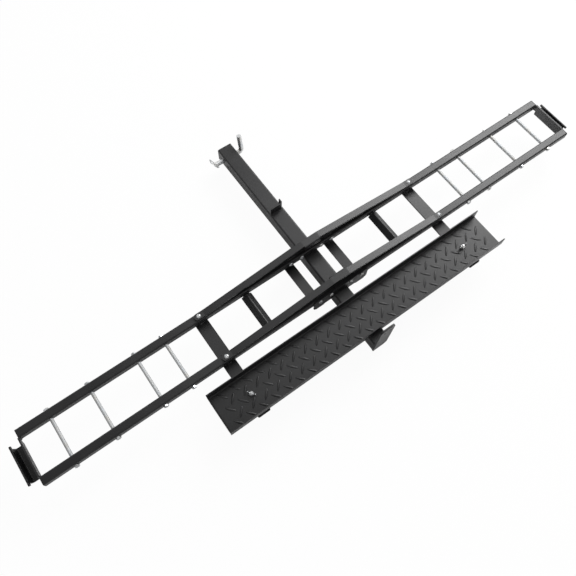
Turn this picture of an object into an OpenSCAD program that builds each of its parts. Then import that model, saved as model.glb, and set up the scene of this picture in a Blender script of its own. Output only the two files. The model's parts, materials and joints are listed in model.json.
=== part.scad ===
// Motorcycle carrier for a 2 inch tow hitch: a shank, a long wheel track and a carried loading ramp.
// Origin: centre of the hitch pin hole. +Y points at the vehicle, +X along the track, +Z up.

/* [Hitch shank] */
// Outside width of the square shank
tube_size = 50.8; // [44:0.1:60]
// Wall of the shank
tube_wall = 4.8; // [3:0.1:6]
// Outside corner radius of the shank
tube_corner = 5; // [3:0.5:8]
// Length of the shank
tube_len = 820; // [780:5:900]
// Distance from the shank's open end back to the hitch pin hole
pin_setback = 28.4; // [22:0.1:45]
// Diameter of the small hole in the left wall, behind the pin hole
side_hole_d = 9; // [5:0.5:12]
// Distance from the pin hole back to the small side hole
side_hole_back = 31; // [24:1:60]

/* [Hitch pin and clip] */
// Diameter of the hitch pin
pin_d = 15.9; // [12:0.1:16.5]
// Gap between the pin and its hole, all round
pin_gap = 0.1; // [0.05:0.05:0.4]
// Distance from the shank's left wall to the pin's tip
pin_tip = 34; // [28:1:45]
// Distance from the shank's right wall to the middle of the handle
handle_out = 23; // [20:1:40]
// Length of the handle above the pin
handle_len = 66; // [45:1:90]
// Lean of the handle towards the vehicle, in degrees
handle_lean = 9; // [0:1:30]
// Centre-line radius of the bend between pin and handle
handle_bend = 13; // [11:1:18]
// Wire diameter of the spring clip
clip_wire = 3; // [2:0.1:3.5]
// Length of the clip's straight leg from the pin to the ring
clip_reach = 42; // [32:1:60]
// Length of the straight leg's tail on the other side of the pin
clip_tail = 22; // [14:1:30]
// Centre-line radius of the clip's ring
clip_ring = 7; // [5:0.5:10]
// Angle by which the clip hangs below the level, in degrees
clip_droop = 25; // [0:1:60]

/* [Stop and end plate] */
// Distance from the pin hole back to the stop on top of the shank
stop_back = 272; // [120:1:350]
// Height of the stop above the shank
stop_h = 31; // [15:1:45]
// Thickness of the stop's plate
stop_t = 4; // [3:0.5:6]
// Length of the stop's turned ear
stop_ear = 16; // [10:1:30]
// Width of the upright plate at the shank's outer end
end_plate_w = 50; // [40:1:80]
// Thickness of the upright end plate
end_plate_t = 6; // [4:0.5:8]
// Height of the end plate above the shank's underside
end_plate_h = 156; // [90:1:200]
// Spacing of the two holes in the end plate
end_hole_pitch = 20; // [14:1:30]
// Diameter of the two holes in the end plate
end_hole_d = 7; // [4:0.5:10]
// Distance from the end plate's top edge down to its holes
end_hole_drop = 22; // [12:1:40]

/* [Track] */
// Length of the wheel track
track_len = 1905; // [1700:5:2100]
// Distance from the pin hole back to the middle of the track
track_back = 515; // [440:5:560]
// Distance between the centre lines of the two rails
rail_pitch = 144.4; // [125:0.2:170]
// Outside width of a rail tube
rail_size = 25.4; // [22:0.1:32]
// Wall of a rail tube
rail_wall = 2; // [1.5:0.1:3]
// Outside corner radius of a rail tube
rail_corner = 4.5; // [2:0.5:6]
// Gap between the two halves of a rail at mid-track
rail_joint = 1; // [0.5:0.5:4]
// Thickness of the pads between the shank and the rails
pad_t = 5; // [3:0.5:10]
// Face thickness of the plastic plugs that close the rail ends
cap_t = 2; // [1:0.5:4]

/* [Cradle at mid-track] */
// Half length of a cradle plate
cradle_half = 99; // [88:1:130]
// Thickness of a cradle plate
cradle_t = 3; // [2.5:0.5:6]
// Height of the cradle plates above the rails' top
cradle_over = 4; // [0:0.5:8]
// Distance of the inner cradle bolts from mid-track
bolt_inner = 36; // [34:1:48]
// Distance of the outer cradle bolts from mid-track
bolt_outer = 76; // [66:1:86]
// Width of the two cross bars beside the shank
cross_bar_w = 31.4; // [24:0.2:40]
// Thickness of the cross bars
cross_bar_t = 5; // [3:0.5:8]
// Distance of the cross bars' centre lines from mid-track
cross_bar_x = 75.2; // [62:0.2:90]
// Height of the cross bars' top above the shank's centre line
cross_bar_top = 6; // [0:0.5:14]

/* [Raised bows] */
// Width of a bow's strap
bow_w = 20; // [16:0.5:24]
// Thickness of a bow's strap
bow_t = 6; // [4:0.5:8]
// Thickness of the web under a bow's strap
bow_web = 3; // [2:0.5:6]
// Height of a bow's flat crown above the rail
bow_rise = 45.5; // [25:0.5:60]
// Half length of a bow's flat crown
bow_crown = 28; // [24:1:60]
// Distance from a bow's knee in to the joint bolt
knee_in = 17; // [14:1:30]
// Radius of a bow's bends
bow_bend = 24; // [12:1:40]
// Drop of the turned lip at a bow's crown
lip_drop = 19; // [8:1:26]
// Reach of the turned lip past the strap's inner edge
lip_reach = 5; // [4.5:0.5:8]
// Thickness of the turned lip
lip_t = 3; // [2:0.5:4]

/* [Rungs] */
// Distance of the angle rungs from mid-track
rung_x = 239; // [200:1:300]
// Width of an angle rung across its two toes
rung_w = 34; // [26:0.5:40]
// Thickness of an angle rung
rung_t = 3; // [2:0.5:4]
// Diameter of the round cross rods
rod_d = 10; // [8:0.5:14]
// Diameter of a cross rod's threaded ends
rod_thread = 8; // [6:0.5:8]
// Distance of the innermost cross rod from mid-track
rod_x1 = 509; // [480:1:540]
// Distance of the second cross rod from mid-track
rod_x2 = 597; // [560:1:640]
// Distance of the third cross rod from the track's end
rod_end2 = 210.5; // [190:0.5:230]
// Distance of the outermost cross rod from the track's end
rod_end1 = 89.5; // [60:0.5:120]

/* [End hooks] */
// Thickness of an end hook's plate
hook_t = 4.8; // [3:0.2:6]
// Distance by which a hook's wall leans out, from top to foot
hook_lean = 6; // [2:1:14]
// Depth of a hook below the rails' underside
hook_depth = 21; // [14:1:30]
// Width of a hook's trough at its foot, between plate centres
hook_gap = 23; // [16:1:30]
// Height of a hook's outer lip above its foot
hook_lip = 26; // [14:1:34]
// Distance by which the hook's outer lip leans out
hook_flare = 6; // [0:1:10]
// Width of the part of a hook below the rails
hook_w = 104; // [80:1:110]

/* [Ramp and its arms] */
// Distance of the arms and joint bolts from mid-track
arm_x = 391; // [370:1:410]
// Width of an arm
arm_w = 40; // [30:1:50]
// Thickness of an arm
arm_t = 5; // [4:0.5:8]
// Height of the spacers between the rails and the arms
spacer_h = 12.4; // [8:0.2:16]
// Outside diameter of the spacers
spacer_d = 20; // [16:1:24]
// Distance by which an arm pokes past the ramp
arm_poke = 2.3; // [1:0.1:10]
// Length of the ramp
ramp_len = 994; // [920:1:1150]
// Outside width of the ramp
ramp_w = 122.4; // [110:0.2:140]
// Height of the ramp's sides
ramp_h = 38.5; // [28:0.5:48]
// Thickness of the ramp's plate
ramp_t = 3; // [2:0.5:4]
// Gap between the near rail's outer face and the ramp
ramp_gap = 45.6; // [36:0.2:70]
// Depth of the hooking lip at the ramp's left end
ramp_lip = 13; // [10:1:20]
// Width of the hooking lip at the ramp's left end
ramp_lip_w = 98; // [70:1:100]

/* [Fasteners] */
// Thread diameter of the bolts
bolt_d = 8; // [6:0.5:9]
// Gap between a bolt and its hole, all round
bolt_gap = 0.2; // [0.1:0.05:0.5]
// Diameter of a bolt's domed head
head_d = 14; // [12:0.5:15]
// Height of a bolt's domed head
head_h = 4.4; // [3:0.2:6]
// Width of the hexagon recess in a head, across its flats
socket_w = 5; // [3:0.5:6]
// Width of a nut across its flats
nut_w = 13; // [11:0.5:14]
// Thickness of a nut
nut_t = 6.5; // [5:0.5:8]
// Gap between the wing nuts and their studs, all round
thread_gap = 0.08; // [0.02:0.01:0.1]
// Gap round a stud in the ramp's floor
stud_gap = 1.2; // [0.5:0.1:3]
// Height of a wing nut's hub
wing_hub_h = 9; // [7:0.5:12]
// Distance from a wing nut's axis to the tip of a wing
wing_reach = 14; // [11:0.5:18]
// Height of a wing nut's wings
wing_h = 16; // [13:0.5:20]
// Thickness of a wing
wing_t = 2.6; // [2:0.2:4]

/* [Hidden] */

// Two sides of the track, across and along it
FAR = 1;
NEAR = -1;
RIGHT = 1;
LEFT = -1;
SIDES = [LEFT, RIGHT];
// Facets of a full circle, and steps in one bend of a folded plate
$fn = 48;
BEND_STEPS = 6;
// Overshoot of cutting tools
CUT = 1;
POWDER_BLACK = [0.11, 0.11, 0.115];
ZINC = [0.78, 0.79, 0.8];
PLASTIC_BLACK = [0.05, 0.05, 0.05];

// Heights above the shank's centre line
tube_top = tube_size / 2;
rail_bottom = tube_top + pad_t;
rail_mid = rail_bottom + rail_size / 2;
rail_top = rail_bottom + rail_size;
arm_top = rail_bottom - spacer_h;
arm_bottom = arm_top - arm_t;
floor_top = tube_top + ramp_t;
crown_top = rail_top + bow_rise;
cradle_top = rail_top + cradle_over;
hook_foot = rail_bottom - hook_depth;

// Places along the shank
tube_front = pin_setback;
tube_rear = pin_setback - tube_len;
track_y = -track_back;
near_face = track_y - rail_pitch / 2 - rail_size / 2;
far_face = track_y + rail_pitch / 2 + rail_size / 2;
ramp_y = near_face - ramp_gap - ramp_w / 2;
arm_end = ramp_y - ramp_w / 2 - arm_poke;

// Lengths that follow from the sizes above
inner_gap = rail_pitch - rail_size;
rail_end = track_len / 2 - cap_t;
rod_places = [rod_x1, rod_x2, track_len / 2 - rod_end2, track_len / 2 - rod_end1];
bolt_hole_d = bolt_d + 2 * bolt_gap;
clip_x = -(tube_size / 2 + pin_tip * 0.82);
handle_x = tube_size / 2 + handle_out;
pin_hole_d = pin_d + 2 * pin_gap;

function rail_y(side) = track_y + side * rail_pitch / 2;
function unit(v) = v / norm(v);
function left_of(v) = [-v[1], v[0]];
function reversed(list) = [for (i = [len(list) - 1 : -1 : 0]) list[i]];
function heading(path, i) = unit(path[i + 1] - path[i]);

// One bent corner of a folded plate, on the side given by side (1 is left of the path)
function bend_points(p, before, after, t, r, side) =
    let (turn = sign(cross(before, after)),
         half = acos(before * after) / 2,
         centre = p + turn * unit(left_of(before) + left_of(after)) * (t / 2 + r) / cos(half),
         radius = (side == turn) ? r : r + t,
         start = atan2(left_of(before)[1], left_of(before)[0]))
    [for (k = [0 : BEND_STEPS])
        let (a = start + turn * 2 * half * k / BEND_STEPS)
        centre - turn * radius * [cos(a), sin(a)]];

// One face of a folded plate of thickness t that follows path, with inside bend radius r
function plate_face(path, t, r, side) = concat(
    [path[0] + side * left_of(heading(path, 0)) * t / 2],
    [for (i = [1 : 1 : len(path) - 2])
        each bend_points(path[i], heading(path, i - 1), heading(path, i), t, r, side)],
    [path[len(path) - 1] + side * left_of(heading(path, len(path) - 2)) * t / 2]);

// Section of a folded plate
module folded_section(path, t, r) {
    polygon(concat(plate_face(path, t, r, 1), reversed(plate_face(path, t, r, -1))));
}

// Turns a section drawn in X and Z so that it runs along Y, half to each side
module across(width) {
    rotate([90, 0, 0]) linear_extrude(width, center = true) children();
}

// Turns a section drawn in Y and Z so that it runs along +X
module lengthwise(length) {
    rotate([90, 0, 90]) linear_extrude(length) children();
}

module round_rect(w, h, r) {
    square([w - 2 * r, h], center = true);
    square([w, h - 2 * r], center = true);
    for (x = SIDES, y = SIDES)
        translate([x * (w / 2 - r), y * (h / 2 - r)]) circle(r);
}

module tube_section(size, wall, corner) {
    difference() {
        round_rect(size, size, corner);
        round_rect(size - 2 * wall, size - 2 * wall, max(corner - wall, wall / 2));
    }
}

// Round bar along Y or X, centred
module bar_y(d, length) {
    rotate([90, 0, 0]) cylinder(d = d, h = length, center = true);
}

module bar_x(d, length) {
    rotate([0, 90, 0]) cylinder(d = d, h = length, center = true);
}

// Domed head with a hexagon recess, standing on its seat and pointing up
module domed_head() {
    dome = (pow(head_d / 2, 2) + pow(head_h, 2)) / (2 * head_h);
    difference() {
        translate([0, 0, head_h - dome]) sphere(dome);
        translate([0, 0, -2 * dome]) cube(4 * dome, center = true);
        translate([0, 0, head_h / 2]) cylinder(d = socket_w / cos(30), h = head_h, $fn = 6);
    }
}

// Bolt whose head seats at the origin and whose shank runs down through the grip and a nut
module bolt(grip) {
    domed_head();
    translate([0, 0, -grip - nut_t - CUT]) cylinder(d = bolt_d, h = grip + nut_t + CUT);
}

// Nut that stands on its seat and points up
module nut(thread, height) {
    difference() {
        cylinder(d = nut_w / cos(30), h = height, $fn = 6);
        translate([0, 0, -CUT]) cylinder(d = thread + 2 * thread_gap, h = height + 2 * CUT);
    }
}

module hitch_tube() {
    color(POWDER_BLACK) difference() {
        translate([0, tube_front, 0]) rotate([90, 0, 0])
            linear_extrude(tube_len) tube_section(tube_size, tube_wall, tube_corner);
        bar_x(pin_hole_d, tube_size + 2 * CUT);
        translate([-tube_size / 2, -side_hole_back, 0]) bar_x(side_hole_d, 2 * tube_wall + CUT);
    }
}

// Straight pin with a bent handle on the right and a cross hole near its tip
module hitch_pin() {
    tip = -(tube_size / 2 + pin_tip);
    nose = pin_d / 5;
    bend_x = handle_x - handle_bend;
    color(ZINC) difference() {
        rotate([-handle_lean, 0, 0]) {
            translate([tip + nose, 0, 0]) rotate([0, 90, 0]) cylinder(d = pin_d, h = bend_x - tip - nose);
            translate([tip, 0, 0]) rotate([0, 90, 0]) cylinder(d1 = pin_d - 2 * nose, d2 = pin_d, h = nose);
            translate([bend_x, 0, handle_bend]) rotate([90, 0, 0]) rotate([0, 0, -90])
                rotate_extrude(angle = 90) translate([handle_bend, 0]) circle(d = pin_d);
            translate([handle_x, 0, handle_bend]) cylinder(d = pin_d, h = handle_len - handle_bend - CUT);
            translate([handle_x, 0, handle_len - CUT]) cylinder(d1 = pin_d, d2 = pin_d - 2 * CUT, h = CUT);
        }
        translate([clip_x, 0, 0]) rotate([-clip_droop, 0, 0]) bar_y(clip_wire + 2 * pin_gap, 2 * pin_d);
    }
}

// Straight piece of wire between two points of a plane
module wire_line(from, to) {
    run = to - from;
    translate([from[0], from[1], 0]) rotate([0, 0, atan2(run[1], run[0])]) rotate([0, 90, 0])
        cylinder(d = clip_wire, h = norm(run));
}

// Spring clip: a straight leg through the pin, a ring, and a second leg that dips and wraps the pin
module pin_clip() {
    wrap = pin_d / 2 + clip_wire / 2 + 2 * pin_gap;
    knuckle = 1.2 * clip_wire;
    ring_to = 90;
    ring_centre = [clip_reach, clip_ring];
    bent_leg = [ring_centre + clip_ring * [cos(ring_to), sin(ring_to)],
                wrap * [1.155, 0.478],
                wrap * [0.05, 1.14],
                wrap * [-0.52, 1.04],
                wrap * [-1.1, 1.25]];
    color(ZINC) translate([clip_x, 0, 0]) rotate([-clip_droop, 0, 0]) rotate([-90, 0, 90]) {
        wire_line([-clip_tail, 0], [clip_reach, 0]);
        translate([ring_centre[0], ring_centre[1], 0]) rotate([0, 0, -90])
            rotate_extrude(angle = 90 + ring_to) translate([clip_ring, 0]) circle(d = clip_wire);
        for (i = [0 : len(bent_leg) - 2]) {
            wire_line(bent_leg[i], bent_leg[i + 1]);
            translate([bent_leg[i][0], bent_leg[i][1], 0]) sphere(d = knuckle);
        }
    }
}

// Folded stop on top of the shank: a plate across it and an ear turned towards the vehicle
module tube_stop() {
    edge = tube_size / 2 - tube_corner / 2;
    path = [[-edge, 0], [edge - stop_t / 2, 0], [edge - stop_t / 2, stop_ear]];
    color(POWDER_BLACK) translate([0, -stop_back, tube_top])
        linear_extrude(stop_h) folded_section(path, stop_t, stop_t);
}

// Upright plate that closes the shank's outer end
module end_plate() {
    corner = end_plate_w / 5;
    chamfer = end_plate_w / 5;
    low = -tube_size / 2;
    high = low + end_plate_h;
    half = end_plate_w / 2;
    color(POWDER_BLACK) translate([0, tube_rear - end_plate_t / 2, 0]) difference() {
        across(end_plate_t) {
            polygon([[-half, low], [half - chamfer, low], [half, low + chamfer],
                     [half, high - corner], [-half, high - corner]]);
            translate([0, high - corner]) square([end_plate_w - 2 * corner, 2 * corner], center = true);
            for (x = SIDES) translate([x * (half - corner), high - corner]) circle(corner);
        }
        for (x = SIDES)
            translate([x * end_hole_pitch / 2, 0, high - end_hole_drop])
                bar_y(end_hole_d, end_plate_t + 2 * CUT);
    }
}

// Upright plate on a rail's outer face, notched over the shank
module cradle_plate(side) {
    corner = 8;
    mid = (cross_bar_top + cradle_top) / 2;
    y = rail_y(side) + side * (rail_size + cradle_t) / 2;
    color(POWDER_BLACK) translate([0, y, 0]) difference() {
        across(cradle_t) difference() {
            translate([0, mid]) round_rect(2 * cradle_half, cradle_top - cross_bar_top, corner);
            square(tube_size, center = true);
        }
        for (x = SIDES, place = [bolt_inner, bolt_outer])
            translate([x * place, 0, rail_mid]) bar_y(bolt_hole_d, cradle_t + 2 * CUT);
    }
}

// Flat bar under the rails that joins the two cradle plates beside the shank
module cross_bar(side) {
    length = far_face - near_face + 2 * cradle_t;
    color(POWDER_BLACK) translate([side * cross_bar_x, track_y, cross_bar_top - cross_bar_t / 2])
        cube([cross_bar_w, length, cross_bar_t], center = true);
}

// Flat pads that carry the rails on top of the shank
module rail_pads() {
    color(POWDER_BLACK) for (side = [NEAR, FAR])
        translate([0, rail_y(side), tube_top + pad_t / 2])
            cube([tube_size - 2 * tube_corner, rail_size, pad_t], center = true);
}

// Half a rail: a square tube with holes for the cradle bolts, the cross rods and the joint bolt
module rail(across_side, along_side) {
    start = along_side > 0 ? rail_joint / 2 : -rail_end;
    color(POWDER_BLACK) translate([0, rail_y(across_side), rail_mid]) difference() {
        translate([start, 0, 0]) lengthwise(rail_end - rail_joint / 2)
            tube_section(rail_size, rail_wall, rail_corner);
        for (place = [bolt_inner, bolt_outer])
            translate([along_side * place, 0, 0]) bar_y(bolt_hole_d, rail_size + 2 * CUT);
        for (place = rod_places)
            translate([along_side * place, 0, 0]) bar_y(rod_d + 2 * bolt_gap, rail_size + 2 * CUT);
        translate([along_side * arm_x, 0, 0])
            cylinder(d = bolt_hole_d, h = rail_size + 2 * CUT, center = true);
    }
}

// Plastic plugs in the outer ends of the rails
module rail_end_caps() {
    bore = rail_size - 2 * rail_wall;
    plug = 12;
    color(PLASTIC_BLACK) for (x = SIDES, y = [NEAR, FAR])
        translate([x * rail_end, rail_y(y), rail_mid]) rotate([0, x > 0 ? 0 : 180, 0]) {
            lengthwise(cap_t) round_rect(rail_size, rail_size, rail_corner);
            translate([-plug, 0, 0])
                lengthwise(plug) round_rect(bore, bore, max(rail_corner - rail_wall, rail_wall / 2));
        }
}

// Raised bow over a rail: a bent strap on an upright web, with a lip turned down at the crown
module bow(side) {
    low = rail_top + bow_t / 2;
    high = crown_top - bow_t / 2;
    knee = arm_x - knee_in;
    tip = arm_x + bow_w * 0.7;
    path = [[-tip, low], [-knee, low], [-bow_crown, high], [bow_crown, high], [knee, low], [tip, low]];
    lip = [[0, -lip_t / 2], [lip_reach - lip_t / 2, -lip_t / 2], [lip_reach - lip_t / 2, -lip_drop]];
    color(POWDER_BLACK) translate([0, rail_y(side), 0]) {
        difference() {
            intersection() {
                across(bow_w) folded_section(path, bow_t, bow_bend);
                linear_extrude(crown_top + CUT) round_rect(2 * tip, bow_w, bow_w / 2 - 1);
            }
            for (x = SIDES)
                translate([x * arm_x, 0, low]) cylinder(d = bolt_hole_d, h = 2 * bow_t, center = true);
        }
        across(bow_web)
            polygon([[-knee, rail_top], [knee, rail_top], [bow_crown, high], [-bow_crown, high]]);
        mirror([0, side > 0 ? 1 : 0, 0]) translate([-bow_crown, bow_w / 2, crown_top])
            lengthwise(2 * bow_crown) folded_section(lip, lip_t, lip_t / 2);
    }
}

// Angle bar between the rails with its ridge up, level with the middle of the rails
module rung(side) {
    half = rung_w / 2 - rung_t * cos(45) / 2;
    apex = rail_mid - rung_t * cos(45);
    path = [[-half, apex - half], [0, apex], [half, apex - half]];
    color(POWDER_BLACK) translate([side * rung_x, track_y, 0])
        across(inner_gap) folded_section(path, rung_t, rung_t / 2);
}

// Round rods through both rails, with threaded ends for the nuts
module cross_rods(side) {
    outer = far_face - near_face;
    color(ZINC) for (place = rod_places) translate([side * place, track_y, rail_mid]) {
        bar_y(rod_d, outer);
        bar_y(rod_thread, outer + 2 * nut_t + 2 * CUT);
    }
}

module rod_nuts(side) {
    face = side > 0 ? far_face : near_face;
    color(ZINC) for (x = SIDES, place = rod_places)
        translate([x * place, face, rail_mid]) rotate([side > 0 ? -90 : 90, 0, 0]) nut(rod_thread, nut_t);
}

// Bolts through a rail and its cradle plate, heads towards the ramp
module cradle_bolts(side) {
    seat = rail_y(side) - rail_size / 2 - (side == NEAR ? cradle_t : 0);
    color(ZINC) for (x = SIDES, place = [bolt_inner, bolt_outer])
        translate([x * place, seat, rail_mid]) rotate([90, 0, 0]) bolt(rail_size + cradle_t);
}

module cradle_nuts() {
    color(ZINC) for (side = [NEAR, FAR], x = SIDES, place = [bolt_inner, bolt_outer])
        translate([x * place, rail_y(side) + rail_size / 2 + (side == FAR ? cradle_t : 0), rail_mid])
            rotate([-90, 0, 0]) nut(bolt_d, nut_t);
}

// Folded hook between the rail ends: a wall, a trough for the ramp's lip and an outer lip
module end_hook(side) {
    top = track_len / 2;
    foot = top + hook_lean;
    low = hook_foot + hook_t / 2;
    path = [[top, rail_top], [foot, low], [foot + hook_gap, low],
            [foot + hook_gap + hook_flare, hook_foot + hook_lip]];
    trim = (inner_gap - hook_w) / 2;
    color(POWDER_BLACK) translate([0, track_y, 0]) mirror([side > 0 ? 0 : 1, 0, 0]) difference() {
        across(inner_gap) folded_section(path, hook_t, hook_t);
        for (y = SIDES)
            translate([foot + hook_gap / 2, y * (hook_w + trim + CUT) / 2, hook_foot])
                cube([4 * hook_gap, trim + CUT, 2 * (rail_bottom - hook_foot)], center = true);
    }
}

// Flat arm under both rails that carries the ramp
module ramp_arm(side) {
    back = far_face;
    length = back - arm_end;
    corner = 4;
    color(POWDER_BLACK) translate([side * arm_x, 0, 0]) difference() {
        translate([0, back - length / 2, arm_bottom]) linear_extrude(arm_t) round_rect(arm_w, length, corner);
        for (y = [rail_y(FAR), rail_y(NEAR), ramp_y])
            translate([0, y, arm_bottom - CUT]) cylinder(d = bolt_hole_d, h = arm_t + 2 * CUT);
    }
}

// Round spacers between rails and arms
module arm_spacers() {
    color(ZINC) for (x = SIDES, y = [NEAR, FAR]) translate([x * arm_x, rail_y(y), arm_top])
        difference() {
            cylinder(d = spacer_d, h = spacer_h);
            translate([0, 0, -CUT]) cylinder(d = bolt_hole_d, h = spacer_h + 2 * CUT);
        }
}

// Upright bolts through bow, rail, spacer and arm
module joint_bolts() {
    color(ZINC) for (x = SIDES, y = [NEAR, FAR]) translate([x * arm_x, rail_y(y), rail_top + bow_t])
        bolt(bow_t + rail_size + spacer_h + arm_t);
}

module joint_nuts() {
    color(ZINC) for (x = SIDES, y = [NEAR, FAR])
        translate([x * arm_x, rail_y(y), arm_bottom]) rotate([180, 0, 0]) nut(bolt_d, nut_t);
}

// Channel-shaped ramp with a lip turned down at its left end
module ramp() {
    side = ramp_w / 2 - ramp_t / 2;
    base = tube_top + ramp_t / 2;
    high = tube_top + ramp_h;
    trough = [[-side, high], [-side, base], [side, base], [side, high]];
    left_end = -ramp_len / 2;
    bend = ramp_t + 2;
    lip = [[left_end + 2 * bend, base], [left_end + ramp_t / 2, base],
           [left_end + ramp_t / 2, tube_top - ramp_lip]];
    color(POWDER_BLACK) translate([0, ramp_y, 0]) difference() {
        union() {
            difference() {
                translate([left_end, 0, 0]) lengthwise(ramp_len) folded_section(trough, ramp_t, ramp_t);
                translate([left_end, 0, base])
                    cube([2 * bend, ramp_lip_w, 2 * ramp_t], center = true);
            }
            across(ramp_lip_w) folded_section(lip, ramp_t, 2);
        }
        for (x = SIDES) translate([x * arm_x, 0, tube_top - CUT])
            cylinder(d = bolt_d + 2 * stud_gap, h = ramp_t + 2 * CUT);
    }
}

// Nuts that lock the studs to the arms and carry the ramp level with the shank's top
module stud_nuts() {
    color(ZINC) for (x = SIDES)
        translate([x * arm_x, ramp_y, arm_top]) nut(bolt_d, tube_top - arm_top);
}

// Studs that stand up through the arms and the ramp's floor
module ramp_studs() {
    above = floor_top + wing_hub_h + bolt_d;
    color(ZINC) for (x = SIDES) translate([x * arm_x, ramp_y, arm_bottom]) {
        rotate([180, 0, 0]) domed_head();
        cylinder(d = bolt_d, h = above - arm_bottom);
    }
}

// Outline of one wing, drawn in X and Z from the hub outwards
module wing_outline() {
    tip = wing_h / 4;
    translate([wing_reach - tip, wing_h - tip]) circle(tip);
    polygon([[bolt_d / 2 + 1, 1], [wing_reach, wing_h - tip], [wing_reach - tip, wing_h],
             [wing_reach - 2 * tip, wing_h - tip], [bolt_d / 2 + 1, wing_hub_h - 1]]);
}

// Wing nut that clamps the ramp on its stud
module wing_nut(side) {
    hub = bolt_d + 7;
    color(ZINC) translate([side * arm_x, ramp_y, floor_top]) difference() {
        union() {
            cylinder(d1 = hub, d2 = hub - 3, h = wing_hub_h);
            across(wing_t) wing_outline();
            mirror([1, 0, 0]) across(wing_t) wing_outline();
        }
        translate([0, 0, -CUT]) cylinder(d = bolt_d + 2 * thread_gap, h = wing_h + 2 * CUT);
    }
}

hitch_tube();
hitch_pin();
pin_clip();
tube_stop();
end_plate();
cradle_plate(FAR);  // cradle_plate_far
cradle_plate(NEAR);  // cradle_plate_near
cross_bar(LEFT);  // cross_bar_left
cross_bar(RIGHT);  // cross_bar_right
rail_pads();
rail(FAR, LEFT);  // rail_far_left
rail(FAR, RIGHT);  // rail_far_right
rail(NEAR, LEFT);  // rail_near_left
rail(NEAR, RIGHT);  // rail_near_right
rail_end_caps();
bow(FAR);  // bow_far
bow(NEAR);  // bow_near
rung(LEFT);  // rung_left
rung(RIGHT);  // rung_right
cross_rods(LEFT);  // cross_rods_left
cross_rods(RIGHT);  // cross_rods_right
rod_nuts(FAR);  // rod_nuts_far
rod_nuts(NEAR);  // rod_nuts_near
cradle_bolts(FAR);  // cradle_bolts_far
cradle_bolts(NEAR);  // cradle_bolts_near
cradle_nuts();
end_hook(LEFT);  // end_hook_left
end_hook(RIGHT);  // end_hook_right
ramp_arm(LEFT);  // ramp_arm_left
ramp_arm(RIGHT);  // ramp_arm_right
arm_spacers();
joint_bolts();
joint_nuts();
ramp();
ramp_studs();
stud_nuts();
wing_nut(LEFT);  // wing_nut_left
wing_nut(RIGHT);  // wing_nut_right
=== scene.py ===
"""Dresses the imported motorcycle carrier: finishes, treads, threads, nuts, welds, studio and camera."""
import json
import logging
import math
from dataclasses import dataclass
from enum import Enum

import bpy
from mathutils import Matrix, Vector


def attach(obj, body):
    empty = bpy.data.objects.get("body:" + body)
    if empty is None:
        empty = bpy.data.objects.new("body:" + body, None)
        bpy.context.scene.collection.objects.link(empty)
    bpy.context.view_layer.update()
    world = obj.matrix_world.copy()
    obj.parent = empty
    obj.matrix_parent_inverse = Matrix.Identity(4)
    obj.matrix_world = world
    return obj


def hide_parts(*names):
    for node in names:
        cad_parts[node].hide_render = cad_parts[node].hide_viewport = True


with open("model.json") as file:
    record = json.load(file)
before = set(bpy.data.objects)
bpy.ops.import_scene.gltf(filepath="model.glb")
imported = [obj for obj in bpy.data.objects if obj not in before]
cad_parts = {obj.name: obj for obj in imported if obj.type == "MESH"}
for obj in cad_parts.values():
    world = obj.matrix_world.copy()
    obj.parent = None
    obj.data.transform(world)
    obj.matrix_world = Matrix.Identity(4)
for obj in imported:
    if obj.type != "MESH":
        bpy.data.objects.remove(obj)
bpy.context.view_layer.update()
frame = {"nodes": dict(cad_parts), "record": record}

log = logging.getLogger("carrier")
# Sizes are in millimetres unless a name or docstring says otherwise; MM turns them to metres.
MM = 0.001
Point = tuple[float, float, float]
Corner = tuple[float, float]
Colour = tuple[float, float, float, float]

# Signs of the left and the right half of the track
SIDES = (-1, 1)

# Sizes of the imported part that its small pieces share, in millimetres
TUBE_SIZE = 50.8
PAD = 5.0
RAIL_SIZE = 25.4
RAIL_PITCH = 144.4
TRACK_BACK = 515.0
RODS = (509.0, 597.0, 742.0, 863.0)
CRADLE_BOLTS = (36.0, 76.0)
CRADLE_PLATE = 3.0
CROSS_BAR_TOP = 6.0
ARM_X = 391.0
ARM = 5.0
SPACER = 12.4
RAMP_GAP = 45.6
RAMP_WIDTH = 122.4
RAMP_SHEET = 3.0
BOLT = 8.0
THREAD_GAP = 0.08
WING_HUB = 9.0

# Heights above the hitch pin that follow from them
TUBE_TOP = TUBE_SIZE / 2
RAIL_BOTTOM = TUBE_TOP + PAD
RAIL_MID = RAIL_BOTTOM + RAIL_SIZE / 2
RAIL_TOP = RAIL_BOTTOM + RAIL_SIZE
ARM_TOP = RAIL_BOTTOM - SPACER
ARM_BOTTOM = ARM_TOP - ARM
RAMP_FLOOR = TUBE_TOP + RAMP_SHEET

# Places along the shank: the middles of track, rails and ramp, and the rails' outer faces
TRACK_Y = -TRACK_BACK
NEAR_RAIL = TRACK_Y - RAIL_PITCH / 2
FAR_RAIL = TRACK_Y + RAIL_PITCH / 2
NEAR_FACE = NEAR_RAIL - RAIL_SIZE / 2
FAR_FACE = FAR_RAIL + RAIL_SIZE / 2
RAMP_Y = NEAR_FACE - RAMP_GAP - RAMP_WIDTH / 2


class Slot(Enum):
    """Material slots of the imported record."""

    POWDER = "powder_coat"
    ZINC = "zinc"
    PLUG = "plugs"


def linear(hex_colour: str) -> Colour:
    """Turn an sRGB hex colour into a linear colour.

    Args:
        hex_colour: Colour as "#RRGGBB".

    Returns:
        Linear red, green, blue and an alpha of 1.
    """
    parts = [int(hex_colour[i:i + 2], 16) / 255 for i in (1, 3, 5)]
    red, green, blue = [c / 12.92 if c <= 0.04045 else ((c + 0.055) / 1.055) ** 2.4 for c in parts]
    return red, green, blue, 1.0


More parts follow.
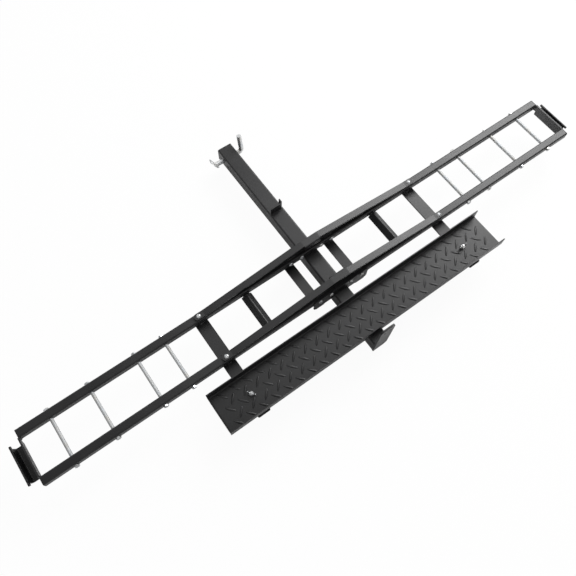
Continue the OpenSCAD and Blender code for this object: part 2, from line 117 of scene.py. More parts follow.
def add_node(tree: bpy.types.NodeTree, kind: str, settings: dict | None = None,
             links: dict | None = None) -> bpy.types.Node:
    """Add a shader node with its settings and its incoming links.

    Args:
        tree: Node tree that gets the node.
        kind: Blender's identifier of the node.
        settings: Attribute or input names with their values.
        links: Input names with the sockets that feed them.

    Returns:
        The new node.
    """
    node = tree.nodes.new(kind)
    for key, value in (settings or {}).items():
        if isinstance(key, str) and hasattr(node, key):
            setattr(node, key, value)
        else:
            node.inputs[key].default_value = value
    for key, socket in (links or {}).items():
        tree.links.new(socket, node.inputs[key])
    return node


def new_material(name: str) -> tuple[bpy.types.Material, bpy.types.NodeTree]:
    """Start an empty node material.

    Args:
        name: Name of the finish.

    Returns:
        The material and its empty node tree.
    """
    material = bpy.data.materials.new(name)
    material.use_nodes = True
    material.node_tree.nodes.clear()
    return material, material.node_tree


def set_ramp(node: bpy.types.Node, stops: list[tuple[float, Colour]]) -> None:
    """Set the stops of a colour ramp, which starts with two.

    Args:
        node: Colour ramp node.
        stops: Positions with their colours, two in all.
    """
    for element, (position, colour) in zip(node.color_ramp.elements, stops):
        element.position = position
        element.color = colour


def grey(value: float) -> Colour:
    """Return a neutral linear colour."""
    return value, value, value, 1.0


@dataclass(frozen=True)
class PowderCoat:
    """Satin black polyester powder, baked on steel: even, slightly pebbled and softly glossy."""

    name: str = "satin black powder coat"
    body: str = "#161617"
    thin: str = "#1F1F20"
    cloud_mm: float = 70.0
    cloud_stops: tuple[float, float] = (0.35, 0.7)
    roughness: tuple[float, float] = (0.36, 0.46)
    peel_mm: float = 1.8
    # Nibs are the specks that stand up in a powder coat; their height is a share of the pebbling's
    nib_spacing_mm: float = 9.0
    nib_radius_mm: float = 0.81
    nib_height: float = 0.6
    bump_mm: float = 0.03
    bump_strength: float = 0.35
    edge_mm: float = 0.9
    edge_samples: int = 6
    ior: float = 1.5

    def make(self) -> bpy.types.Material:
        """Build the material.

        Returns:
            Material with clouded colour, uneven gloss and an orange-peel surface with a few nibs.
        """
        material, tree = new_material(self.name)
        coordinates = add_node(tree, "ShaderNodeTexCoord").outputs["Object"]
        cloud = add_node(tree, "ShaderNodeTexNoise", {"Scale": 1 / (self.cloud_mm * MM), "Detail": 4.0},
                         {"Vector": coordinates})
        # The pebbling of a baked powder is about 1 mm across; it is drawn a little coarser so that it shows.
        peel = add_node(tree, "ShaderNodeTexNoise", {"Scale": 1 / (self.peel_mm * MM), "Detail": 2.0},
                        {"Vector": coordinates})
        nibs = add_node(tree, "ShaderNodeTexVoronoi", {"Scale": 1 / (self.nib_spacing_mm * MM)},
                        {"Vector": coordinates})
        colour = add_node(tree, "ShaderNodeValToRGB", links={"Fac": cloud.outputs["Fac"]})
        set_ramp(colour, list(zip(self.cloud_stops, (linear(self.body), linear(self.thin)))))
        low, high = self.roughness
        gloss = add_node(tree, "ShaderNodeMapRange", {"To Min": low, "To Max": high},
                         {"Value": cloud.outputs["Fac"]})
        nib_share = self.nib_radius_mm / self.nib_spacing_mm
        nib = add_node(tree, "ShaderNodeMapRange",
                       {"From Min": 0.0, "From Max": nib_share, "To Min": 1.0, "To Max": 0.0},
                       {"Value": nibs.outputs["Distance"]})
        height = add_node(tree, "ShaderNodeMath", {"operation": "MULTIPLY_ADD", 1: self.nib_height},
                          {0: nib.outputs["Result"], 2: peel.outputs["Fac"]})
        # Powder flows back a little from a cut edge and leaves it rounded, so edges catch a line of light.
        edge = add_node(tree, "ShaderNodeBevel", {"samples": self.edge_samples, "Radius": self.edge_mm * MM})
        bump = add_node(tree, "ShaderNodeBump",
                        {"Strength": self.bump_strength, "Distance": self.bump_mm * MM},
                        {"Height": height.outputs["Value"], "Normal": edge.outputs["Normal"]})
        shader = add_node(tree, "ShaderNodeBsdfPrincipled", {"IOR": self.ior},
                          {"Base Color": colour.outputs["Color"], "Roughness": gloss.outputs["Result"],
                           "Normal": bump.outputs["Normal"]})
        add_node(tree, "ShaderNodeOutputMaterial", links={"Surface": shader.outputs["BSDF"]})
        return material


@dataclass(frozen=True)
class BrightZinc:
    """Clear-passivated zinc plating on steel: bright, faintly blue and yellow, finely grained."""

    name: str = "bright zinc plating"
    cool: str = "#D0D3D6"
    warm: str = "#D2D1CE"
    tint_mm: float = 22.0
    tint_stops: tuple[float, float] = (0.35, 0.7)
    grain_mm: float = 0.7
    roughness: tuple[float, float] = (0.3, 0.45)
    bump_mm: float = 0.01
    bump_strength: float = 0.25

    def make(self) -> bpy.types.Material:
        """Build the material.

        Returns:
            Metal with drifting tint, uneven gloss and the fine grain of the plating.
        """
        material, tree = new_material(self.name)
        coordinates = add_node(tree, "ShaderNodeTexCoord").outputs["Object"]
        drift = add_node(tree, "ShaderNodeTexNoise", {"Scale": 1 / (self.tint_mm * MM), "Detail": 3.0},
                         {"Vector": coordinates})
        # Crystals of zinc are far below 0.1 mm; the grain is drawn coarse enough to show.
        grain = add_node(tree, "ShaderNodeTexNoise", {"Scale": 1 / (self.grain_mm * MM), "Detail": 2.0},
                         {"Vector": coordinates})
        colour = add_node(tree, "ShaderNodeValToRGB", links={"Fac": drift.outputs["Fac"]})
        set_ramp(colour, list(zip(self.tint_stops, (linear(self.cool), linear(self.warm)))))
        low, high = self.roughness
        gloss = add_node(tree, "ShaderNodeMapRange", {"To Min": low, "To Max": high},
                         {"Value": grain.outputs["Fac"]})
        bump = add_node(tree, "ShaderNodeBump",
                        {"Strength": self.bump_strength, "Distance": self.bump_mm * MM},
                        {"Height": grain.outputs["Fac"]})
        shader = add_node(tree, "ShaderNodeBsdfPrincipled", {"Metallic": 1.0},
                          {"Base Color": colour.outputs["Color"], "Roughness": gloss.outputs["Result"],
                           "Normal": bump.outputs["Normal"]})
        add_node(tree, "ShaderNodeOutputMaterial", links={"Surface": shader.outputs["BSDF"]})
        return material


@dataclass(frozen=True)
class MouldedPlug:
    """Black low-density polyethylene, injection moulded: dull, with a faint spark-eroded grain."""

    name: str = "moulded black polyethylene"
    low: str = "#101011"
    high: str = "#19191A"
    stops: tuple[float, float] = (0.3, 0.8)
    grain_mm: float = 0.8
    roughness: tuple[float, float] = (0.5, 0.68)
    bump_mm: float = 0.04
    bump_strength: float = 0.4
    ior: float = 1.5

    def make(self) -> bpy.types.Material:
        """Build the material.

        Returns:
            Dull plastic with a fine moulded grain.
        """
        material, tree = new_material(self.name)
        coordinates = add_node(tree, "ShaderNodeTexCoord").outputs["Object"]
        grain = add_node(tree, "ShaderNodeTexNoise", {"Scale": 1 / (self.grain_mm * MM), "Detail": 3.0},
                         {"Vector": coordinates})
        colour = add_node(tree, "ShaderNodeValToRGB", links={"Fac": grain.outputs["Fac"]})
        set_ramp(colour, list(zip(self.stops, (linear(self.low), linear(self.high)))))
        smooth, rough = self.roughness
        gloss = add_node(tree, "ShaderNodeMapRange", {"To Min": smooth, "To Max": rough},
                         {"Value": grain.outputs["Fac"]})
        bump = add_node(tree, "ShaderNodeBump",
                        {"Strength": self.bump_strength, "Distance": self.bump_mm * MM},
                        {"Height": grain.outputs["Fac"]})
        shader = add_node(tree, "ShaderNodeBsdfPrincipled", {"IOR": self.ior},
                          {"Base Color": colour.outputs["Color"], "Roughness": gloss.outputs["Result"],
                           "Normal": bump.outputs["Normal"]})
        add_node(tree, "ShaderNodeOutputMaterial", links={"Surface": shader.outputs["BSDF"]})
        return material


def activate(piece: bpy.types.Object) -> None:
    """Select one object alone and make it active.

    Args:
        piece: Object to work on next.
    """
    bpy.ops.object.select_all(action="DESELECT")
    piece.select_set(True)
    bpy.context.view_layer.objects.active = piece


def edit_all(piece: bpy.types.Object) -> None:
    """Open an object in edit mode with all of its mesh selected.

    Args:
        piece: Mesh object.
    """
    activate(piece)
    bpy.ops.object.mode_set(mode="EDIT")
    bpy.ops.mesh.select_all(action="SELECT")


def apply_modifier(piece: bpy.types.Object, kind: str, **settings: object) -> None:
    """Add a modifier and apply it at once.

    Args:
        piece: Object that gets the modifier.
        kind: Blender's identifier of the modifier.
        settings: Attributes of the modifier.
    """
    activate(piece)
    modifier = piece.modifiers.new(kind.title(), kind)
    for key, value in settings.items():
        setattr(modifier, key, value)
    bpy.ops.object.modifier_apply(modifier=modifier.name)


def tidy_mesh(piece: bpy.types.Object, merge_mm: float = 0.01) -> None:
    """Merge doubled points, then turn every face outwards.

    Args:
        piece: Mesh object.
        merge_mm: Distance below which two points become one.
    """
    edit_all(piece)
    bpy.ops.mesh.remove_doubles(threshold=merge_mm * MM)
    bpy.ops.mesh.normals_make_consistent(inside=False)
    bpy.ops.object.mode_set(mode="OBJECT")


def join(pieces: list[bpy.types.Object]) -> bpy.types.Object:
    """Join mesh objects into the first one.

    Args:
        pieces: Objects to join.

    Returns:
        The joined object.
    """
    activate(pieces[0])
    for piece in pieces[1:]:
        piece.select_set(True)
    if len(pieces) > 1:
        bpy.ops.object.join()
    return bpy.context.view_layer.objects.active


def settle(piece: bpy.types.Object) -> bpy.types.Object:
    """Bake an object's place into its mesh, so that the object sits at the origin.

    Args:
        piece: Object to settle.

    Returns:
        The same object.
    """
    activate(piece)
    bpy.ops.object.transform_apply(location=True, rotation=True, scale=True)
    return piece


def copy_at(piece: bpy.types.Object, matrix: Matrix) -> bpy.types.Object:
    """Copy an object with a mesh of its own and place the copy.

    Args:
        piece: Object to copy, settled at the origin.
        matrix: Place of the copy.

    Returns:
        The settled copy.
    """
    copy = piece.copy()
    copy.data = piece.data.copy()
    bpy.context.scene.collection.objects.link(copy)
    copy.data.transform(matrix)
    return copy


def copies(pattern: bpy.types.Object, places: list[Matrix]) -> bpy.types.Object:
    """Copy a pattern to several places, join the copies and delete the pattern.

    Args:
        pattern: Object to repeat, settled at the origin.
        places: Place of each copy.

    Returns:
        One object with all the copies.
    """
    made = [copy_at(pattern, matrix) for matrix in places]
    bpy.data.objects.remove(pattern)
    return join(made)


def outline(points: list[Corner]) -> bpy.types.Object:
    """Make a flat face in the XZ plane from an outline in millimetres.

    Args:
        points: Corners of the outline, in order.

    Returns:
        Object with one face.
    """
    bpy.ops.object.select_all(action="DESELECT")
    bpy.ops.mesh.primitive_circle_add(vertices=len(points), radius=MM, fill_type="NGON")
    flat = bpy.context.object
    for vertex, (x, z) in zip(flat.data.vertices, points):
        vertex.co = (x * MM, 0.0, z * MM)
    return flat


def lathe(profile: list[Corner], steps: int = 32) -> bpy.types.Object:
    """Turn a profile about Z into a closed body.

    Args:
        profile: Radius and height of each corner in millimetres, in order.
        steps: Facets of the full turn.

    Returns:
        Turned body at the origin.
    """
    body = outline(profile)
    edit_all(body)
    bpy.ops.mesh.delete(type="ONLY_FACE")
    bpy.ops.mesh.select_all(action="SELECT")
    bpy.ops.mesh.spin(steps=steps, angle=2 * math.pi, center=(0, 0, 0), axis=(0, 0, 1))
    bpy.ops.object.mode_set(mode="OBJECT")
    tidy_mesh(body)
    return body


def place(x: float, y: float, z: float, turn: Matrix | None = None) -> Matrix:
    """Return the matrix of a place in millimetres, with an optional turn before it."""
    return Matrix.Translation((x * MM, y * MM, z * MM)) @ (turn or Matrix.Identity(4))


def turned(degrees: float, axis: str) -> Matrix:
    """Return a turn about one axis."""
    return Matrix.Rotation(math.radians(degrees), 4, axis)


@dataclass(frozen=True)
class ScrewThread:
    """Metric thread of the rods and studs: 8 mm across, 1.25 mm a turn."""

    crest: float = BOLT / 2
    core: float = 3.45
    pitch: float = 1.25
    # Width of the ridge's foot as a share of the pitch, and how deep the foot sits in the core
    ridge_share: float = 0.9
    root: float = 0.2
    # Loss of radius at the chamfered tip of a threaded end
    tip_taper: float = 0.9
    steps: int = 20

    def ridge(self, length: float) -> bpy.types.Object:
        """Make the helical ridge that climbs from the origin along Z.

        Args:
            length: Threaded length in millimetres.

        Returns:
            Ridge with closed ends, its foot sunk into the core.
        """
        width = self.ridge_share * self.pitch
        foot = self.core - self.root
        ridge = outline([(foot, 0.0), (self.crest, width / 2), (foot, width)])
        edit_all(ridge)
        bpy.ops.mesh.delete(type="ONLY_FACE")
        bpy.ops.object.mode_set(mode="OBJECT")
        turns = int((length - width) / self.pitch)
        apply_modifier(ridge, "SCREW", axis="Z", angle=2 * math.pi, screw_offset=self.pitch * MM,
                       iterations=turns, steps=self.steps, render_steps=self.steps,
                       use_normal_calculate=True)
        edit_all(ridge)
        bpy.ops.mesh.fill_holes(sides=3)
        bpy.ops.mesh.select_all(action="SELECT")
        bpy.ops.mesh.normals_make_consistent(inside=False)
        bpy.ops.object.mode_set(mode="OBJECT")
        return ridge


@dataclass
class Dresser:
    """Holds the finishes and hands every finished piece over to the frame."""

    powder: bpy.types.Material
    zinc: bpy.types.Material
    plug: bpy.types.Material
    drawn: bpy.types.Material

    def material(self, slot: Slot) -> bpy.types.Material:
        """Return the finish of a slot."""
        return {Slot.POWDER: self.powder, Slot.ZINC: self.zinc, Slot.PLUG: self.plug}[slot]

    def hand_over(self, piece: bpy.types.Object, name: str, body: str, slot: Slot,
                  replaced: tuple[str, ...] = (), smooth_deg: float = 35.0,
                  finish: bpy.types.Material | None = None) -> None:
        """Name, smooth, paint and attach a finished piece.

        Args:
            piece: Finished mesh object.
            name: Name of the piece.
            body: Body that carries it.
            slot: Material slot that it takes its finish from.
            replaced: CAD nodes that it stands for.
            smooth_deg: Edges flatter than this are shaded smooth.
            finish: Finish other than the slot's own.
        """
        settle(piece)
        piece.name = name
        piece.data.name = name
        bpy.ops.object.shade_smooth_by_angle(angle=math.radians(smooth_deg))
        piece.data.materials.clear()
        piece.data.materials.append(finish or self.material(slot))
        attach(piece, body)
        if replaced:
            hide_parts(*replaced)
        log.info("%s: %d faces on %s", name, len(piece.data.polygons), body)

    def dress_frame(self) -> None:
        """Give every CAD node the finish of its slot."""
        slots = {part["node"]: part["material_slot"] for part in frame["record"]["subparts"]}
        for name, node in frame["nodes"].items():
            finish = self.material(Slot(slots[name]))
            node.data.materials.clear()
            node.data.materials.append(finish)
            log.info("%s: %s", name, finish.name)


@dataclass
class Fasteners:
    """Hexagon nuts with chamfered corners, on the rods, the bolts and the ramp's studs."""

    across_flats: float = 13.0
    thickness: float = 6.5
    stud_nut: float = TUBE_TOP - ARM_TOP
    bore: float = BOLT + 2 * THREAD_GAP
    # Radius of the round seat as a share of the half width, and the slope of the chamfer outside it
    seat_share: float = 0.96
    chamfer_reach: float = 1.6
    chamfer_drop: float = 1.08
    # Overshoot of the tool that cuts the bore
    overshoot: float = 1.0
    chamfer_facets: int = 48
    bore_facets: int = 24
    # Turn of the nuts as tightened: from one to the next on the rods and the cradle bolts, and their own on
    # the far and near joint bolts and on the studs
    rod_turn_deg: float = 13.0
    cradle_turn_deg: float = 17.0
    joint_turns_deg: tuple[float, float] = (169.2, 20.8)
    stud_turn_deg: float = 19.55
    smooth_deg: float = 20.0

    def nut(self, thickness: float) -> bpy.types.Object:
        """Model one nut that stands on its seat.

        Args:
            thickness: Height of the nut in millimetres.

        Returns:
            Hexagon with both rims chamfered to a circle and a through bore.
        """
        flat = self.across_flats / 2
        bpy.ops.object.select_all(action="DESELECT")
        bpy.ops.mesh.primitive_cylinder_add(vertices=6, radius=self.across_flats / math.sqrt(3) * MM,
                                            depth=thickness * MM, location=(0, 0, thickness / 2 * MM))
        hexagon = settle(bpy.context.object)
        seat, far, drop = flat * self.seat_share, flat + self.chamfer_reach, self.chamfer_drop
        barrel = lathe([(0, 0), (seat, 0), (far, drop), (far, thickness - drop), (seat, thickness),
                        (0, thickness)], self.chamfer_facets)
        low, high = -self.overshoot, thickness + self.overshoot
        hole = lathe([(0, low), (self.bore / 2, low), (self.bore / 2, high), (0, high)], self.bore_facets)
        apply_modifier(hexagon, "BOOLEAN", operation="INTERSECT", object=barrel)
        apply_modifier(hexagon, "BOOLEAN", operation="DIFFERENCE", object=hole)
        for tool in (barrel, hole):
            bpy.data.objects.remove(tool)
        return hexagon

    def hand_over_set(self, dresser: Dresser, node: str, thickness: float, places: list[Matrix]) -> None:
        """Repeat a nut at its places and let it stand for a CAD node.

        Args:
            dresser: Finishes and attachment.
            node: CAD node that the nuts replace.
            thickness: Height of the nuts in millimetres.
            places: Place of each nut.
        """
        nuts = copies(self.nut(thickness), places)
        dresser.hand_over(nuts, node + "_chamfered", "frame", Slot.ZINC, (node,), self.smooth_deg)

    def build(self, dresser: Dresser) -> None:
        """Model every set of nuts and attach it.

        Args:
            dresser: Finishes and attachment.
        """
        away, towards, down = turned(-90, "X"), turned(90, "X"), turned(180, "X")
        rods = [side * x for side in SIDES for x in RODS]
        for node, face, turn in (("rod_nuts_far", FAR_FACE, away), ("rod_nuts_near", NEAR_FACE, towards)):
            self.hand_over_set(dresser, node, self.thickness,
                               [place(x, face, RAIL_MID, turn @ turned(self.rod_turn_deg * i, "Z"))
                                for i, x in enumerate(rods)])
        seats = [(side * x, y) for side in SIDES for x in CRADLE_BOLTS
                 for y in (FAR_FACE + CRADLE_PLATE, NEAR_FACE + RAIL_SIZE)]
        self.hand_over_set(dresser, "cradle_nuts", self.thickness,
                           [place(x, y, RAIL_MID, away @ turned(self.cradle_turn_deg * i, "Z"))
                            for i, (x, y) in enumerate(seats)])
        self.hand_over_set(dresser, "joint_nuts", self.thickness,
                           [place(side * ARM_X, y, ARM_BOTTOM, down @ turned(angle, "Z"))
                            for side in SIDES
                            for y, angle in zip((FAR_RAIL, NEAR_RAIL), self.joint_turns_deg)])
        self.hand_over_set(dresser, "stud_nuts", self.stud_nut,
                           [place(side * ARM_X, RAMP_Y, ARM_TOP, turned(side * self.stud_turn_deg, "Z"))
                            for side in SIDES])


@dataclass
class CrossRods:
    """Round zinc rods through both rails, reduced and threaded at each end."""

    radius: float = 5.0
    # Half length of the full rod, to the rails' outer faces, and the length of each threaded end
    neck: float = (RAIL_PITCH + RAIL_SIZE) / 2
    threaded: float = 7.5
    shoulder: float = 0.8
    tip_length: float = 0.7
    # Length at the tip that has no thread
    run_out: float = 0.6
    # Turn of each rod against its neighbour
    turn_deg: float = 40.0
    thread: ScrewThread = ScrewThread()

    def rod(self) -> bpy.types.Object:
        """Model one rod along Z, centred.

        Returns:
            Turned rod with a thread ridge on both ends.
        """
        core, neck, tip = self.thread.core, self.neck, self.neck + self.threaded
        half = [(self.radius, 0), (self.radius, neck - self.shoulder), (self.radius - self.shoulder, neck),
                (core, neck), (core, tip - self.tip_length), (core - self.thread.tip_taper, tip), (0, tip)]
        rod = lathe([(r, -z) for r, z in reversed(half[1:])] + half[1:])
        upper = self.thread.ridge(self.threaded - self.run_out)
        lower = copy_at(upper, turned(180, "X") @ place(0, 0, neck))
        upper.data.transform(place(0, 0, neck))
        return join([rod, upper, lower])

    def build(self, dresser: Dresser) -> None:
        """Place four rods on each side of the track.

        Args:
            dresser: Finishes and attachment.
        """
        across = turned(90, "X")
        for side, name in zip(SIDES, ("cross_rods_left", "cross_rods_right")):
            places = [place(side * x, TRACK_Y, RAIL_MID, across @ turned(self.turn_deg * i, "Z"))
                      for i, x in enumerate(RODS)]
            rods = copies(self.rod(), places)
            dresser.hand_over(rods, name + "_threaded", "frame", Slot.ZINC, (name,), finish=dresser.drawn)


@dataclass
class RampStuds:
    """Carriage bolts that stand up through the arms, with real threads."""

    height: float = RAMP_FLOOR + WING_HUB + BOLT - ARM_BOTTOM
    head_radius: float = 7.0
    head_height: float = 4.4
    head_rim: float = 0.4
    dome_step_deg: int = 10
    # Length of the plain neck above the seat, and the slope from it down to the thread's core
    plain: float = 6.0
    shoulder: float = 0.6
    # Height where the thread starts, and its distance from the tip where it ends
    thread_start: float = 6.4
    thread_margin: float = 1.2
    tip_length: float = 0.8
    thread: ScrewThread = ScrewThread()

    def stud(self) -> bpy.types.Object:
        """Model one stud that hangs its head below the origin.

        Returns:
            Domed head, plain neck and threaded shank.
        """
        crest, core, top = self.thread.crest, self.thread.core, self.height
        angles = [math.radians(a) for a in range(0, 90, self.dome_step_deg)]
        dome = [(self.head_radius * math.sin(a), -self.head_height * math.cos(a)) for a in angles]
        profile = dome + [(self.head_radius, -self.head_rim), (self.head_radius, 0), (crest, 0),
                          (crest, self.plain), (core, self.plain + self.shoulder),
                          (core, top - self.tip_length), (core - self.thread.tip_taper, top), (0, top)]
        body = lathe(profile)
        ridge = self.thread.ridge(top - self.thread_start - self.thread_margin)
        ridge.data.transform(place(0, 0, self.thread_start))
        return join([body, ridge])

    def build(self, dresser: Dresser) -> None:
        """Place both studs.

        Args:
            dresser: Finishes and attachment.
        """
        studs = copies(self.stud(), [place(side * ARM_X, RAMP_Y, ARM_BOTTOM) for side in SIDES])
        dresser.hand_over(studs, "ramp_studs_threaded", "frame", Slot.ZINC, ("ramp_studs",))


@dataclass
class WingNuts:
    """Forged wing nuts that clamp the ramp."""

    foot_radius: float = 7.4
    crown_radius: float = 6.0
    height: float = WING_HUB
    bore: float = BOLT / 2 + THREAD_GAP
    foot_chamfer: float = 0.4
    mouth_chamfer: float = 0.5
    # Width and height of the broken edges round the foot and the crown
    foot_round: Corner = (0.5, 0.6)
    crown_round: Corner = (0.4, 1.0)
    # Outline of one wing: out from the hub, round its tip and back
    wing: tuple[Corner, ...] = ((4.6, 2.2), (8.0, 3.4), (11.4, 6.4), (13.6, 10.6), (13.9, 13.6), (12.6, 15.6),
                                (10.6, 15.8), (9.0, 14.2), (8.0, 11.2), (6.6, 8.8), (4.6, 8.2))
    wing_thickness: float = 2.8
    wing_round: float = 1.0
    wing_round_steps: int = 3
    wing_corner_deg: float = 50.0
    # Turn of the left and the right nut at rest
    rest_turns_deg: tuple[float, float] = (-54.0, -2.0)

    def hub(self) -> bpy.types.Object:
        """Turn the tapered hub with its bore.

        Returns:
            Hub that stands on its seat.
        """
        foot, crown, bore, top = self.foot_radius, self.crown_radius, self.bore, self.height
        foot_in, foot_up = self.foot_round
        crown_in, crown_down = self.crown_round
        return lathe([(bore, self.foot_chamfer), (bore + self.foot_chamfer, 0), (foot - foot_in, 0),
                      (foot, foot_up), (crown + crown_in, top - crown_down), (crown - crown_in, top),
                      (bore + self.mouth_chamfer, top), (bore, top - self.mouth_chamfer)])

    def wing_at(self, degrees: float) -> bpy.types.Object:
        """Model one rounded wing.

        Args:
            degrees: Turn about the hub's axis.

        Returns:
            Wing beside the hub.
        """
        wing = outline(list(self.wing))
        apply_modifier(wing, "SOLIDIFY", thickness=self.wing_thickness * MM, offset=0.0)
        apply_modifier(wing, "BEVEL", width=self.wing_round * MM, segments=self.wing_round_steps,
                       limit_method="ANGLE", angle_limit=math.radians(self.wing_corner_deg))
        wing.data.transform(turned(degrees, "Z"))
        return wing

    def build(self, dresser: Dresser) -> None:
        """Place the two wing nuts, each on its own body.

        Args:
            dresser: Finishes and attachment.
        """
        for side, name, turn in zip(SIDES, ("left", "right"), self.rest_turns_deg):
            nut = join([self.hub(), self.wing_at(0), self.wing_at(180)])
            nut.data.transform(place(side * ARM_X, RAMP_Y, RAMP_FLOOR, turned(turn, "Z")))
            dresser.hand_over(nut, f"wing_nut_{name}_forged", f"nut_{name}", Slot.ZINC, (f"wing_nut_{name}",))


@dataclass
class SpringClip:
    """Clip of hard-drawn wire: a straight leg through the pin, a ring and a leg that wraps the pin."""

    x: float = -53.28
    # Fall of the straight leg below the level
    droop_deg: float = 25.0
    wire: float = 1.5
    pin_radius: float = 7.95
    pin_gap: float = 0.1
    tail: float = 22.0
    reach: float = 41.95
    ring: float = 7.0
    dip: float = 4.8
    # Angles round the pin where the bent leg meets and leaves it, and the angle of its turned-up tip
    wrap_start_deg: float = 36.0
    wrap_stop_deg: float = 125.0
    tip_deg: float = 240.0
    ring_points: int = 22
    dip_points: int = 8
    wrap_points: int = 12
    tip_points: int = 6
    bevel_steps: int = 4
    merge_mm: float = 0.001
    smooth_deg: float = 60.0

    @staticmethod
    def arc(centre: Vector, radius: float, start: float, stop: float, count: int) -> list[Vector]:
        """Lay points on an arc in the clip's plane.

        Args:
            centre: Middle of the arc in millimetres.
            radius: Radius in millimetres.
            start: First angle in degrees.
            stop: Last angle in degrees.
            count: Steps from the first point to the last.

        Returns:
            Points from start to stop, both included.
        """
        angles = [math.radians(start + (stop - start) * i / count) for i in range(count + 1)]
        return [centre + radius * Vector((math.cos(a), math.sin(a))) for a in angles]

    def path(self) -> list[Corner]:
        """Lay out the centre line in the clip's plane.

        Returns:
            Points in millimetres, along the straight leg first.
        """
        pin = Vector((0, 0))
        wrap = self.pin_radius + self.wire + self.pin_gap
        start, stop = self.wrap_start_deg, self.wrap_stop_deg
        ring_centre = Vector((self.reach, self.ring))
        dip_centre, tip_centre = [(wrap + self.dip) * Vector((math.cos(a), math.sin(a)))
                                  for a in (math.radians(start), math.radians(stop))]
        run = dip_centre - ring_centre
        aim = 180 + math.degrees(math.atan2(-run.y, -run.x))
        leave = aim - math.degrees(math.acos((self.ring + self.dip) / run.length))
        points = [Vector((-self.tail, 0)), pin, Vector((self.reach / 2, 0))]
        points += self.arc(ring_centre, self.ring, -90, leave, self.ring_points)
        points += self.arc(dip_centre, self.dip, 180 + leave, 180 + start, self.dip_points)
        points += self.arc(pin, wrap, start, stop, self.wrap_points)[1:]
        points += self.arc(tip_centre, self.dip, 180 + stop, self.tip_deg, self.tip_points)[1:]
        return [(p.x, p.y) for p in points]

    def build(self, dresser: Dresser) -> None:
        """Bend the wire along its path and attach it.

        Args:
            dresser: Finishes and attachment.
        """
        droop = math.radians(self.droop_deg)
        along = Vector((0, math.cos(droop), -math.sin(droop)))
        across = Vector((0, -math.sin(droop), -math.cos(droop)))
        bpy.ops.object.select_all(action="DESELECT")
        bpy.ops.curve.primitive_nurbs_path_add()
        wire = bpy.context.object
        curve = wire.data
        curve.splines.clear()
        spline = curve.splines.new("POLY")
        points = self.path()
        spline.points.add(len(points) - 1)
        for point, (u, v) in zip(spline.points, points):
            spot = Vector((self.x, 0, 0)) + u * along + v * across
            point.co = (*(spot * MM), 1.0)
        curve.dimensions = "3D"
        curve.bevel_depth = self.wire * MM
        curve.bevel_resolution = self.bevel_steps
        curve.use_fill_caps = True
        activate(wire)
        bpy.ops.object.convert(target="MESH")
        wire = bpy.context.object
        tidy_mesh(wire, self.merge_mm)
        dresser.hand_over(wire, "spring_clip", "clip", Slot.ZINC, ("pin_clip",), self.smooth_deg,
                          dresser.drawn)


@dataclass
class TreadPlate:
    """Raised bars rolled into the ramp's floor, alternately along both diagonals."""

    pitch: float = 41.2
    length: float = 35.0
    width: float = 7.6
    height: float = 1.6
    # Part of the mound's ball below the floor, as a share of its height, and the depth where it is cut
    sunk_share: float = 0.25
    foot: float = 0.05
    segments: int = 16
    rings: int = 8
    # Rows of bars, measured from the ramp's middle towards the track, and the place of their middle bars
    rising_rows: tuple[float, ...] = (19.2, -23.3)
    falling_rows: tuple[float, ...] = (40.4, -2.3, -44.5)
    rising_start: float = 12.5
    falling_start: float = 33.5
    slope_deg: float = 48.0
    # Farthest bar from mid-track, and the least distance of a bar's middle from a stud
    limit_x: float = 480.0
    stud_clear: float = 17.0
    smooth_deg: float = 60.0

    def bar(self) -> bpy.types.Object:
        """Model one bar, long along X, with its foot just under the origin's plane.

        Returns:
            Low mound with pointed ends.
        """
        bpy.ops.object.select_all(action="DESELECT")
        bpy.ops.mesh.primitive_uv_sphere_add(segments=self.segments, ring_count=self.rings, radius=MM)
        mound = bpy.context.object
        mound.scale = (self.length / 2, self.width / 2, self.height * (1 + self.sunk_share))
        mound.location.z = -self.height * self.sunk_share * MM
        settle(mound)
        edit_all(mound)
        bpy.ops.mesh.bisect(plane_co=(0, 0, -self.foot * MM), plane_no=(0, 0, 1), clear_inner=True,
                            use_fill=True)
        bpy.ops.object.mode_set(mode="OBJECT")
        return mound

    def spots(self) -> list[Matrix]:
        """Lay out the bars.

        Returns:
            Place of every bar that is clear of the studs.
        """
        found = []
        count = int(self.limit_x / self.pitch) + 1
        for rows, start, slope in ((self.rising_rows, self.rising_start, self.slope_deg),
                                   (self.falling_rows, self.falling_start, -self.slope_deg)):
            for row in rows:
                for step in range(-count, count + 1):
                    x = start + step * self.pitch
                    near = min(math.hypot(x - side * ARM_X, row) for side in SIDES)
                    if abs(x) <= self.limit_x and near > self.stud_clear:
                        found.append(place(x, RAMP_Y + row, RAMP_FLOOR, turned(slope, "Z")))
        return found

    def build(self, dresser: Dresser) -> None:
        """Roll the bars into the floor.

        Args:
            dresser: Finishes and attachment.
        """
        bars = copies(self.bar(), self.spots())
        dresser.hand_over(bars, "tread_bars", "ramp", Slot.POWDER, smooth_deg=self.smooth_deg)


